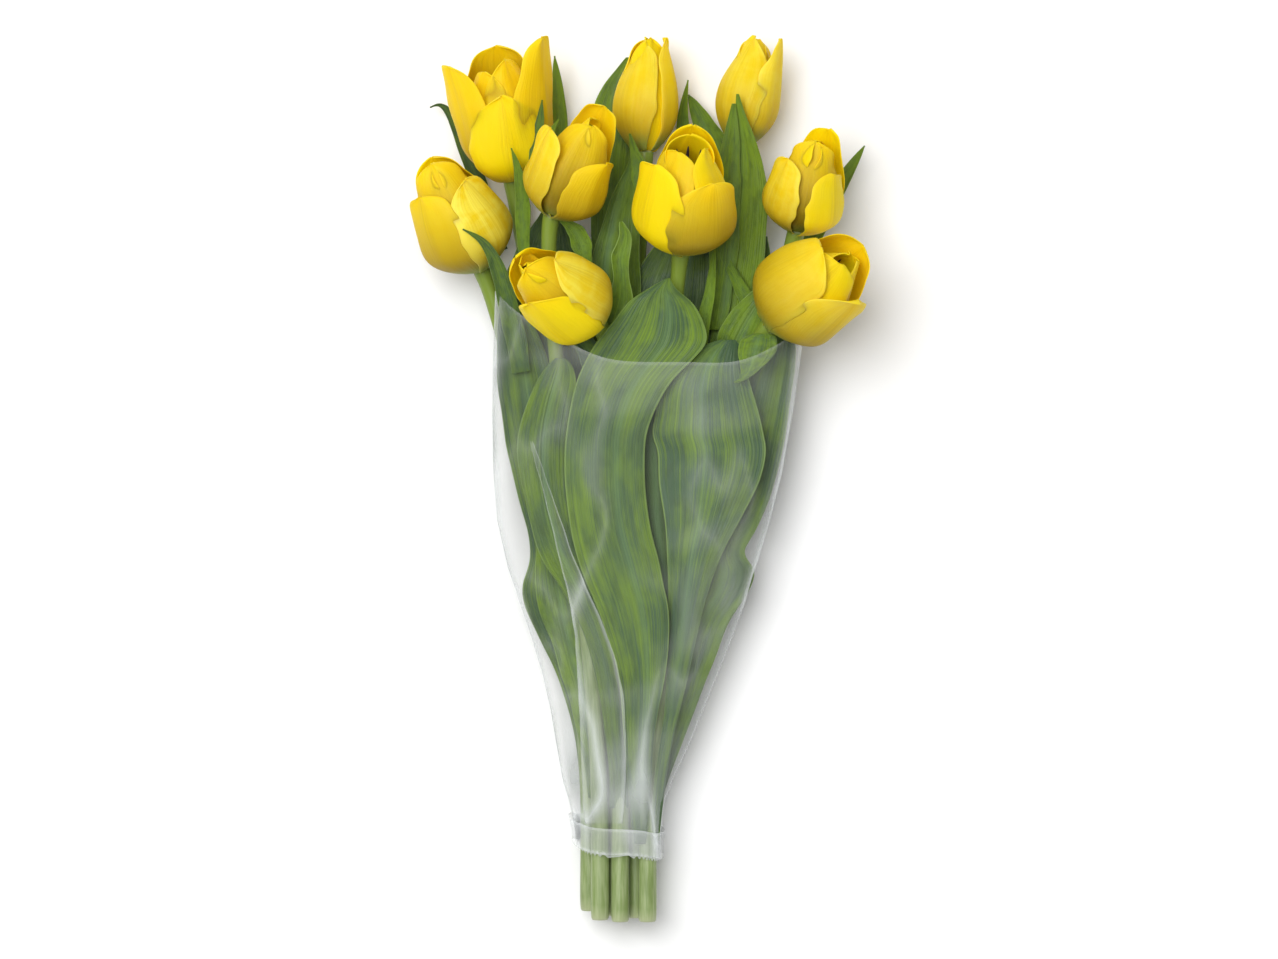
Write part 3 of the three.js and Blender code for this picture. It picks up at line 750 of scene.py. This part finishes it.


# A leaf has rows of (y, left edge, right edge, height), or a route of (x, y, z) with a half width. Its dark
# value is painted shade.
leafShape = {"cup": 0.0, "rib": 0.5, "ribDepth": 0.8, "ribWidth": 1.6, "wave": 1.2, "waves": 3.0,
             "fresh": 0.2, "dark": 0.0, "wall": 0.5, "across": 25, "along": 56, "crowding": 1.15,
             "widest": 0.5, "foot": 0.45, "sway": 0.6}
leaves = {
    "front_leaf": {
        "rows": [(33, -2.6, 2.6, 28), (58, -5.5, 5, 31.5), (78, -6.5, 6.5, 34), (103, -8.5, 10, 37),
            (130, -17, 12, 40.5), (142, -22, 10.4, 42), (153, -26, 8.4, 43), (165, -29, 5, 44.4),
            (180, -31, 3, 46.2), (192, -31.6, 2.6, 47.6), (206, -31, 3, 49.2), (219, -29, 7.4, 52),
            (229, -26.5, 13.5, 53.6), (238, -22.5, 22.5, 54.6), (245, -18.5, 27.6, 55.6),
            (254, -11, 25.6, 56.8), (261, -5.5, 21.5, 57.6), (266, 2, 15.5, 58), (271, 11, 12.4, 58.3)],
        "cup": -0.1, "rib": 0.62, "fresh": 0.3, "wave": 1.0, "waves": 2.6},
    "front_right_leaf": {
        "rows": [(34, 3.6, 8, 26.5), (60, 6, 11, 29.5), (80, 9, 14.5, 31), (95, 10.5, 18, 32.5),
            (128, 12, 26, 36), (153, 11, 34, 39), (170, 10.5, 42, 41), (187, 8, 50, 43),
            (199, 7.2, 52.5, 44.5), (206, 4.6, 51.5, 45.3), (214, 6.2, 50, 46), (225, 8.5, 47, 47.3),
            (235, 15, 44.5, 48), (242, 24, 43, 48.6), (245.5, 33, 40, 49)],
        "cup": -0.12, "rib": 0.45, "fresh": 0.12, "wave": 1.0, "waves": 2.3},
    "right_edge_leaf": {
        "rows": [(50, 5, 9, 20), (66, 7, 14, 22), (80, 10, 19.5, 24), (95, 12, 25, 25.5), (110, 12, 31, 26),
            (125, 14, 37, 27), (140, 20, 46, 28), (149, 22, 48.5, 28.5), (156, 24, 43.5, 29),
            (166, 26, 49, 30), (180, 30, 55, 31), (200, 32, 60, 32), (220, 36, 64, 33), (240, 44, 66, 34),
            (250, 54, 65, 34.5)],
        "cup": -0.08, "wave": 0.9, "waves": 4.2, "fresh": 0.3, "dark": 0.12},
    "front_left_leaf": {
        "rows": [(48, -13, -5, 27), (60, -13, -5, 29), (80, -15, -7, 31), (100, -18, -9, 33),
            (120, -23, -13, 34.5), (140, -33, -19, 36), (153, -41, -23, 37.5), (170, -47, -28, 39),
            (187, -50.5, -30, 40), (204, -51, -30, 41.5), (218, -48, -28.5, 43), (228, -44, -27, 44),
            (235, -39, -28.5, 44.6), (238, -35.5, -31.5, 45)],
        "cup": -0.14, "wave": 0.9, "waves": 3.4, "fresh": 0.35, "dark": 0.15},
    "left_edge_leaf": {
        "rows": [(50, -25, -18, 14), (78, -28, -20, 17), (103, -35, -23, 19), (118, -42, -22, 20),
            (132, -48.5, -22, 22), (142, -49.5, -22, 23), (152, -47, -24, 24), (165, -48.5, -28, 25.5),
            (182, -52, -31, 27), (204, -57, -33, 29), (225, -60, -36, 31), (245, -60, -42, 33),
            (258, -59, -49, 34.5), (265, -57, -54.5, 35)],
        "cup": -0.1, "wave": 0.9, "waves": 4.0, "fresh": 0.25, "dark": 0.1},
    "low_left_leaf": {
        "rows": [(52, -22, -16, 20), (72, -25, -16, 22), (92, -30, -18, 22), (115, -37, -22, 23),
            (142, -44, -26, 25), (165, -43, -34, 26)],
        "cup": -0.1, "fresh": 0.6},
    "tall_right_leaf": {
        "rows": [(205, 30, 39, 24), (228, 29, 42, 27), (250, 30, 47.5, 30), (275, 34, 52, 31.5),
            (300, 38, 54, 33), (318, 40, 52.5, 34), (330, 40.2, 48.5, 36), (340, 40, 44.5, 38),
            (349, 40.3, 41.6, 40)],
        "cup": -0.15, "rib": 0.15, "fresh": 0.9, "wave": 0.4},
    "tall_right_inner_leaf": {
        "rows": [(250, 26, 36, 33), (280, 29, 41, 35), (305, 31, 42, 36), (322, 33, 42, 37.5),
            (335, 36, 41.5, 39), (345, 38.5, 40.2, 40)],
        "cup": -0.15, "rib": 0.8, "fresh": 0.75, "dark": 0.15, "wave": 0.4},
    "far_right_leaf": {
        "route": [(44, 225, 11), (56, 258, 14), (74, 295, 14), (86, 314, 14), (95.5, 329, 13)],
        "half": 5.5, "widest": 0.6, "fresh": 0.9, "wave": 0.3, "ribDepth": 1.0},
    "top_middle_leaf": {
        "rows": [(240, -18, -6, 8), (290, -21, -5, 8), (315, -22, -5, 8), (330, -21.5, -4, 8),
            (345, -20.5, -2, 8), (355, -16, -2, 8), (363, -9.5, -3, 8), (367, -6, -4.6, 8)],
        "cup": -0.1, "fresh": 0.75, "wave": 0.4, "dark": 0.1},
    "dark_centre_leaf": {
        "rows": [(225, -16, 4, 26), (245, -21, 3, 29), (262, -22, 1, 31), (280, -20, 0, 33),
            (295, -16, 0, 34), (308, -11, 0, 34.5), (318, -6, 0, 34.5), (327, -2.5, -1, 34)],
        "cup": -0.1, "rib": 0.3, "fresh": 0.75, "dark": 0.3, "wave": 0.5},
    "curled_leaf": {
        "rows": [(232, -22, -10, 38), (246, -17.5, -5, 42), (254, -15.6, -5.2, 44), (262, -13, -3.2, 45),
            (271, -10.8, -4.6, 46.4), (277, -11.6, -5, 47), (281, -12, -4.4, 47.6), (285.5, -9.8, -3.8, 48),
            (289.5, -8.4, -4, 48.4), (293, -8.6, -6, 48.6), (295, -8.4, -7.6, 48.6)],
        "cup": 0.5, "rib": 0.6, "fresh": 0.9, "wave": 0.3, "ribDepth": 0.2},
    "thin_left_leaf": {
        "route": [(-50, 232, 36), (-53, 250, 40), (-58.5, 272, 46), (-62, 281, 50), (-67, 287.5, 53),
            (-74, 291.5, 55)],
        "half": 4.4, "widest": 0.3, "foot": 0.9, "fresh": 0.3, "dark": 0.15, "wave": 0.2},
    "top_left_leaf": {
        "route": [(-58, 285, 4), (-72, 322, 5), (-80, 341, 7), (-85, 346.5, 8), (-89.5, 345.5, 9)],
        "half": 3.6, "fresh": 0.1, "dark": 0.5, "wave": 0.2},
    "beside_top_left_leaf": {
        "route": [(-31, 290, 12), (-33, 320, 13), (-34.5, 345, 14), (-36.3, 367, 15)],
        "half": 3.4, "widest": 0.6, "fresh": 0.9, "wave": 0.2, "ribDepth": 1.0},
    "between_left_leaf": {
        "route": [(-48, 270, 37), (-49, 290, 42), (-49.5, 305, 46), (-51.2, 317, 50), (-53.8, 325.5, 52)],
        "half": 3.2, "widest": 0.45, "fresh": 0.9, "dark": 0.1, "wave": 0.2},
    "top_right_leaf": {
        "route": [(22, 255, 10), (19, 300, 9), (18.5, 330, 9), (18.5, 344, 11), (20.4, 357, 12)],
        "half": 4.5, "fresh": 0.9, "wave": 0.3},
    "small_centre_leaf": {
        "rows": [(290, -3, 7, 34), (305, -3.5, 7, 35), (317, -4, 4.5, 36), (325, -4.4, 0, 37),
            (332.5, -4.8, -3.9, 38)],
        "cup": -0.3, "rib": 0.3, "fresh": 0.75, "dark": 0.1, "wave": 0.2},
    "under_right_leaf": {
        "route": [(34, 214, 30), (37, 232, 34), (42, 247, 37), (50, 261, 38), (58, 270, 37)],
        "half": 9.0, "widest": 0.55, "fresh": 0.75, "wave": 0.5},
    "under_left_leaf": {
        "route": [(-14, 214, 40), (-18, 232, 42), (-23, 243, 44), (-30, 249.5, 45), (-36, 251.5, 46)],
        "half": 5.0, "fresh": 0.1, "wave": 0.4},
    "back_left_leaf": {
        "route": [(-12, 110, 2.6), (-20, 170, 3), (-24, 230, 3.6), (-20, 285, 6)],
        "half": 15.0, "dark": 0.3, "wave": 0.4},
    "back_right_leaf": {
        "route": [(4, 110, 2.6), (18, 170, 3), (28, 225, 3.6), (32, 270, 6)],
        "half": 15.0, "dark": 0.3, "wave": 0.4},
}
# Tips that show between the others, on leaves that have no node of their own; their dark values paint the
# shade there.
extraLeaves = {
    "between_broad_leaves": {
        "rows": [(132, 2, 20, 33), (150, -2, 20, 35), (170, -6, 20, 37), (190, -8, 20, 38),
            (206, -8, 18, 39), (216, -4, 14, 40)],
        "cup": -0.05, "dark": 0.85, "wave": 0.3},
    "behind_front_leaf": {
        "rows": [(205, -12, 30, 24), (230, -12, 38, 26), (250, -10, 42, 27), (268, -5, 42, 28),
            (282, 3, 38, 28), (292, 12, 30, 28)],
        "cup": -0.1, "dark": 0.45, "wave": 0.4},
    "right_dark_leaf": {
        "rows": [(215, 26, 42, 20), (245, 24, 52, 22), (270, 28, 56, 23), (290, 34, 54, 24)],
        "cup": -0.1, "dark": 0.5, "wave": 0.4},
    "left_dark_leaf": {
        "rows": [(225, -50, -24, 22), (250, -58, -22, 24), (270, -58, -22, 25), (288, -50, -26, 26),
            (300, -42, -32, 26)],
        "cup": -0.1, "dark": 0.45, "wave": 0.4},
    "narrow_right_leaf": {
        "route": [(24, 232, 40), (26.5, 252, 44), (29.5, 268, 44), (31.5, 287, 38)],
        "half": 3.0, "widest": 0.25, "fresh": 0.9, "wave": 0.2},
    "crossing_leaf": {
        "route": [(46, 240, 33), (46.5, 258, 35), (40, 272, 35), (33, 287, 33)],
        "half": 3.2, "widest": 0.35, "fresh": 0.75, "wave": 0.2},
    "behind_top_right_leaf": {
        "route": [(42, 300, 8), (34, 322, 8), (27, 338, 9), (20.6, 351, 9)],
        "half": 6.5, "widest": 0.45, "fresh": 0.75, "dark": 0.15, "wave": 0.3},
    "between_left_tip": {
        "route": [(-22, 276, 42), (-25, 287, 44), (-29, 293, 46), (-34, 296, 48)],
        "half": 4.2, "widest": 0.4, "fresh": 0.9, "wave": 0.3},
    "beside_middle_left_tip": {
        "route": [(-40, 300, 40), (-39.5, 318, 44), (-38, 330, 47), (-34, 338, 48)],
        "half": 2.6, "fresh": 0.9, "wave": 0.2},
    "over_top_left_tip": {
        "route": [(-45, 312, 44), (-43.5, 328, 45), (-42, 337, 46), (-41, 346, 47)],
        "half": 2.6, "widest": 0.4, "fresh": 0.4, "dark": 0.2, "wave": 0.2},
}
# The tip of front_right_leaf that is turned down over its own front.
foldedTip = {
    "rows": [(248, 49, 54, 50), (246.5, 44, 56.5, 50.6), (243, 41.5, 57, 51.6), (239, 41, 55.5, 52.2),
             (235, 41.5, 52, 52.2), (231.5, 42, 48, 52), (229, 41, 44, 51.6), (227.5, 39, 40.6, 51.2)],
    "cup": -0.2, "wave": 0.4, "fresh": 0.55, "along": 22}


# Both edges and the direction out of the leaf at a share of its length.
def leafEdges(leaf, t):
    if "rows" in leaf:
        y, left, right, z = alongRows(leaf["rows"], t)
        return Vector((left, y, z)), Vector((right, y, z)), Vector((0, 0, 1))
    point = Vector(alongRows(leaf["route"], t))
    across, up = lineAxes(leaf["route"], t)
    if t < leaf["widest"]:
        half = leaf["half"] * mixed(leaf["foot"], 1.0, smooth(0, leaf["widest"], t))
    else:
        toTip = (t - leaf["widest"]) / (1 - leaf["widest"])
        half = max(leaf["half"] * (1 - toTip ** 1.9), 0.35)
    return point - across * half, point + across * half, up


def addBlade(bm, leaf, seed):
    def shape(side, rise):
        t = 1 - (1 - rise) ** leaf["crowding"]
        left, right, up = leafEdges(leaf, t)
        half = (right - left).length / 2
        u = side * 2 - 1
        fade = min(1.0, half / 8) * smooth(0.0, 0.1, t) * smooth(1.0, 0.93, t)
        shift = leaf["sway"] * wander(t * leaf["waves"] * 2.6, seed, u * 0.4) * fade * 2
        place = left + (right - left) * side + (right - left).normalized() * shift * u * u
        lift = leaf["cup"] * half * u * u
        wave = abs(u) ** 2.4 * math.sin(math.tau * leaf["waves"] * t + seed + 1.9 * u)
        lift += leaf["wave"] * fade * (wave + 0.8 * wander(u * 1.4, t * 7, seed + 3))
        fromRib = (side - leaf["rib"]) * half * 2
        spine = math.exp(-(fromRib / leaf["ribWidth"]) ** 2)
        lift -= leaf["ribDepth"] * fade * spine
        return spot(place + up * lift), (side, t, seed * 0.11), (leaf["fresh"], leaf["dark"], spine * fade)

    addGrid(bm, leaf["across"], leaf["along"], shape)


def makeLeaf(name, leaf, seed, nodes):
    leaf = {**leafShape, **leaf}
    bm = bmesh.new()
    addBlade(bm, leaf, seed)
    if name == "front_right_leaf":
        addBlade(bm, {**leaf, **foldedTip}, seed + 1)
    for face in bm.faces:
        face.normal_update()
    down = sum(face.normal.z < 0 for face in bm.faces)
    if down > len(bm.faces) / 2:
        bmesh.ops.reverse_faces(bm, faces=bm.faces)
    finishPiece(name, giveWall(bm, leaf["wall"]), [leafMaterial], nodes)


for k, (leafName, leaf) in enumerate(leaves.items()):
    makeLeaf(leafName, leaf, 1.37 * k + 0.5, [leafName])
for k, (leafName, leaf) in enumerate(extraLeaves.items()):
    makeLeaf(leafName, leaf, 2.11 * k + 40.5, [])
print("leaves ready:", len(leaves) + len(extraLeaves))


# Stations of the sleeve: y, left edge, right edge, top, roundness. The seams run at a share of the height.
sleeve = {
    "stations": [(26, -27.0, 8.6, 30, 0.4), (38, -27.6, 8.8, 30.6, 0.4), (50, -30.0, 10, 33, 0.5),
                 (60, -33, 14, 37, 0.65), (75, -35.5, 21, 40.5, 0.75), (90, -38, 27, 43, 0.8),
                 (105, -41.5, 33, 45, 0.8), (120, -46, 39, 47, 0.8), (135, -51, 44.5, 49.5, 0.8),
                 (150, -56, 49, 52, 0.8), (170, -60.5, 55, 55, 0.8), (190, -62, 60, 58, 0.8),
                 (215, -62.5, 64.5, 62, 0.8), (240, -62, 68, 66, 0.8), (272, -61, 71, 70, 0.8)],
    "seam": 0.42, "floor": 0.35, "across": 110, "along": 130, "wall": 0.12, "backTop": 266,
    "frontTop": 235.0, "dipAt": 12, "dip": 0.0058, "highest": 268,
    "foot": 30.5, "footSlant": 3.3, "footDip": 2.5, "mouthAt": 200, "mouthLine": 0.22,
    "sideReflectionHaze": 1.8, "sideReflectionBand": 0.7, "mostHaze": 2.5,
    "pleats": (0.8, 0.5), "swell": 0.9, "ridge": 0.55, "spread": 0.25,
}


def sleeveSection(y):
    rows = sleeve["stations"]
    i = min(max(bisect.bisect_right([r[0] for r in rows], y) - 1, 0), len(rows) - 2)
    share = min(max((y - rows[i][0]) / (rows[i + 1][0] - rows[i][0]), 0.0), 1.0)
    return tuple(mixed(a, b, share) for a, b in zip(rows[i][1:], rows[i + 1][1:]))


# The height and outline of the front or back sheet; angle 0 is the right seam and pi the left one.
def filmPoint(angle, y, lift=0.0):
    left, right, top, roundness = sleeveSection(y)
    middle, half = (left + right) / 2, (right - left) / 2
    seam = top * sleeve["seam"]
    cosine, sine = math.cos(angle), math.sin(angle)
    x = middle + half * math.copysign(abs(cosine) ** roundness, cosine)
    bulge = abs(sine) ** roundness
    if sine < 0:
        return Vector((x, y, seam - (seam - sleeve["floor"]) * min(1.0, bulge * 1.12)))
    gathered = smooth(118, 48, y)
    broad, narrow = sleeve["pleats"]
    pleat = broad * math.sin(9 * angle + 0.045 * y) + narrow * math.sin(17 * angle - 0.03 * y + 1)
    swell = sleeve["swell"] * wander(x / 24, y / 34, 2.0) * (1 - gathered) * bulge
    ridge = 1 - abs(wander(x / 15, y / 40, 11.0)) * 5
    swell += sleeve["ridge"] * max(ridge, 0.0) ** 2 * bulge
    out = gathered * pleat * bulge + swell + lift
    return Vector((x + sleeve["spread"] * out * cosine, y, seam + (top - seam) * bulge + out))


# The front sheet's upper edge dips in the middle.
def frontTop(x):
    upper = sleeve["frontTop"] + sleeve["dip"] * (x - sleeve["dipAt"]) ** 2 + 0.8 * math.sin(x / 7)
    return min(upper, sleeve["highest"])


# Gives a sheet its side up and its wall, and returns the piece with the flat area of the sheet.
def finishSheet(name, bm, nodes, upwards=1):
    for face in bm.faces:
        face.normal_update()
    if sum(face.normal.z for face in bm.faces) * upwards < 0:
        bmesh.ops.reverse_faces(bm, faces=bm.faces)
    area = sum(face.calc_area() for face in bm.faces)
    return finishPiece(name, giveWall(bm, sleeve["wall"]), [filmMaterial], nodes, 0), area


def makeFilmSheet(name, front):
    left, right = sleeveSection(sleeve["mouthAt"])[:2]
    turn, nodes = (1, ["film_sleeve"]) if front else (-1, [])

    def shape(side, rise):
        x = mixed(left, right, 0.5 - 0.5 * math.cos(math.pi * side))
        upper = frontTop(x) if front else sleeve["backTop"] + 2 * math.sin(x / 19)
        lower = sleeve["foot"] + sleeve["footSlant"] * math.cos(math.pi * side) + 0.7 * math.sin(x)
        y = mixed(lower - sleeve["footDip"] * math.sin(math.pi * side), upper, rise)
        fromSeam = min(side, 1 - side)
        # Near each side the haze and a broad band along the border are painted reflection, where the film
        # turns edge-on; the thin line at the seam is the seam itself.
        haze = 0.1 + 0.9 * smooth(110, 50, y) + sleeve["sideReflectionHaze"] * smooth(0.12, 0.0, fromSeam)
        border = max(sleeve["mouthLine"] * smooth(0.005, 0.0, 1 - rise), smooth(0.008, 0.0, rise),
                     smooth(0.025, 0.0, fromSeam), sleeve["sideReflectionBand"] * smooth(0.16, 0.03, fromSeam))
        tone = (min(haze, sleeve["mostHaze"]), border if front else border * 0.6, 0.0)
        return spot(filmPoint(turn * math.pi * (1 - side), y)), (side, rise, 0.0), tone

    bm = bmesh.new()
    addGrid(bm, sleeve["across"], sleeve["along"], shape)
    return finishSheet(name, bm, nodes, turn)


# The glued overlap of the film, a narrow doubled strip on the front sheet, in rows of (y, left, right).
overlap = {"rows": [(42, -23.2, -7.4), (50, -23.8, -6.8), (62, -24.5, -6), (80, -25.2, -6),
                    (100, -26, -7.5), (120, -27.3, -13), (138, -30, -20.5), (153, -33.6, -27),
                    (180, -40, -36.5), (203, -46, -44.6)],
           "off": 0.45, "arch": 0.7, "across": 16, "along": 90}


# The angle at which the front sheet lies over a given x.
def frontAngle(x, y):
    left, right, top, roundness = sleeveSection(y)
    share = min(max((x - (left + right) / 2) / ((right - left) / 2), -0.999), 0.999)
    return math.acos(math.copysign(abs(share) ** (1 / roundness), share))


def makeOverlap():
    def shape(side, rise):
        y, left, right = alongRows(overlap["rows"], rise)
        x = mixed(left, right, side) + 0.4 * wander(y / 9, side, 5.0)
        off = overlap["off"] + overlap["arch"] * math.sin(math.pi * side)
        border = 0.5 * smooth(0.14, 0.0, min(side, 1 - side))
        tone = (0.1 + 0.4 * smooth(1.0, 0.6, rise), border, 0.0)
        return spot(filmPoint(frontAngle(x, y), y, off)), (side, rise, 0.0), tone

    bm = bmesh.new()
    addGrid(bm, overlap["across"], overlap["along"], shape)
    return finishSheet("film_overlap", bm, [])


frontFilm, frontArea = makeFilmSheet("film_front", True)
backFilm, backArea = makeFilmSheet("film_back", False)
overlapFilm, overlapArea = makeOverlap()
print("film ready, areas:", round(frontArea, 5), round(backArea, 5), round(overlapArea, 5))


tape = {"middle": 36.3, "slant": 3.3, "dip": 2.2, "width": 11.0, "off": 1.5, "uneven": 0.5, "haze": 0.7,
        "lowest": 0.15, "around": 96, "rows": 8, "wall": 0.12}


# A band round the gathered foot, off the film by a little, its seam merged.
def makeTape():
    def shape(side, rise):
        angle = math.tau * side
        middle = tape["middle"] - tape["slant"] * math.cos(angle) - tape["dip"] * max(math.sin(angle), 0.0)
        y = middle + tape["width"] * (rise - 0.5)
        y += tape["uneven"] * wander(math.cos(angle) * 3, math.sin(angle) * 3, rise)
        place = filmPoint(angle, y)
        left, right, top = sleeveSection(y)[:3]
        place += (place - Vector(((left + right) / 2, y, top / 2))).normalized() * tape["off"]
        place.z = max(place.z, tape["lowest"])
        border = 0.6 * smooth(0.16, 0.0, min(rise, 1 - rise))
        return spot(place), (side, rise, 0.0), (tape["haze"], border, 0.0)

    bm = bmesh.new()
    verts = addGrid(bm, tape["around"] + 1, tape["rows"], shape)
    bmesh.ops.remove_doubles(bm, verts=verts, dist=sameSpot)
    bmesh.ops.recalc_face_normals(bm, faces=bm.faces)
    middle = spot((bundle["middle"], tape["middle"], 15))
    if sum((f.calc_center_median() - middle).dot(f.normal) for f in bm.faces) < 0:
        bmesh.ops.reverse_faces(bm, faces=bm.faces)
    finishPiece("tape_band", giveWall(bm, tape["wall"]), [tapeMaterial], ["foot_tape"], 0)


makeTape()
print("tape ready")

floorLook = {"size": 6.0, "below": 0.4, "colour": (0.92, 0.92, 0.92)}


def makeFloor(look):
    bm = bmesh.new()
    bmesh.ops.create_grid(bm, x_segments=1, y_segments=1, size=look["size"] / 2)
    mesh = bpy.data.meshes.new("floor")
    bm.to_mesh(mesh)
    bm.free()
    mesh.transform(Matrix.Translation((0, 0, -look["below"] * mm)))
    floor = bpy.data.objects.new("floor", mesh)
    bpy.context.scene.collection.objects.link(floor)
    material, tree, shader = newMaterial("paper", 0.9, 0.1)
    shader.inputs["Base Color"].default_value = (*look["colour"], 1.0)
    mesh.materials.append(material)


# Places from here on are in metres.
studio = {"from": (-0.44, 0.38, 1.8), "aim": (0, 0, 0.03), "size": 1.15, "power": 33.0, "world": 0.48}


def makeLight(look):
    light = bpy.data.lights.new("key", "AREA")
    light.shape = "SQUARE"
    light.size = look["size"]
    light.energy = look["power"]
    lamp = bpy.data.objects.new("key", light)
    lamp.location = look["from"]
    lamp.rotation_euler = (Vector(look["aim"]) - lamp.location).to_track_quat("-Z", "Y").to_euler()
    bpy.context.scene.collection.objects.link(lamp)
    world = bpy.data.worlds.new("studio")
    bpy.context.scene.world = world
    world.use_nodes = True
    background = world.node_tree.nodes["Background"]
    background.inputs["Color"].default_value = (1.0, 1.0, 1.0, 1.0)
    background.inputs["Strength"].default_value = look["world"]
    bpy.context.scene.view_settings.view_transform = "Standard"


# Shown is the width in view at the camera's level, a little above the surface.
view = {"lens": 150.0, "sensor": 36.0, "shown": 0.5368, "level": 0.04, "middle": (-0.0018, -0.0014),
        "far": 20.0}


def makeCamera(look):
    data = bpy.data.cameras.new("camera")
    data.lens = look["lens"]
    data.sensor_width = look["sensor"]
    data.clip_end = look["far"]
    camera = bpy.data.objects.new("camera", data)
    distance = look["lens"] / look["sensor"] * look["shown"]
    camera.location = (*look["middle"], look["level"] + distance)
    bpy.context.scene.collection.objects.link(camera)
    bpy.context.scene.camera = camera


makeFloor(floorLook)
makeLight(studio)
makeCamera(view)
print("studio ready")
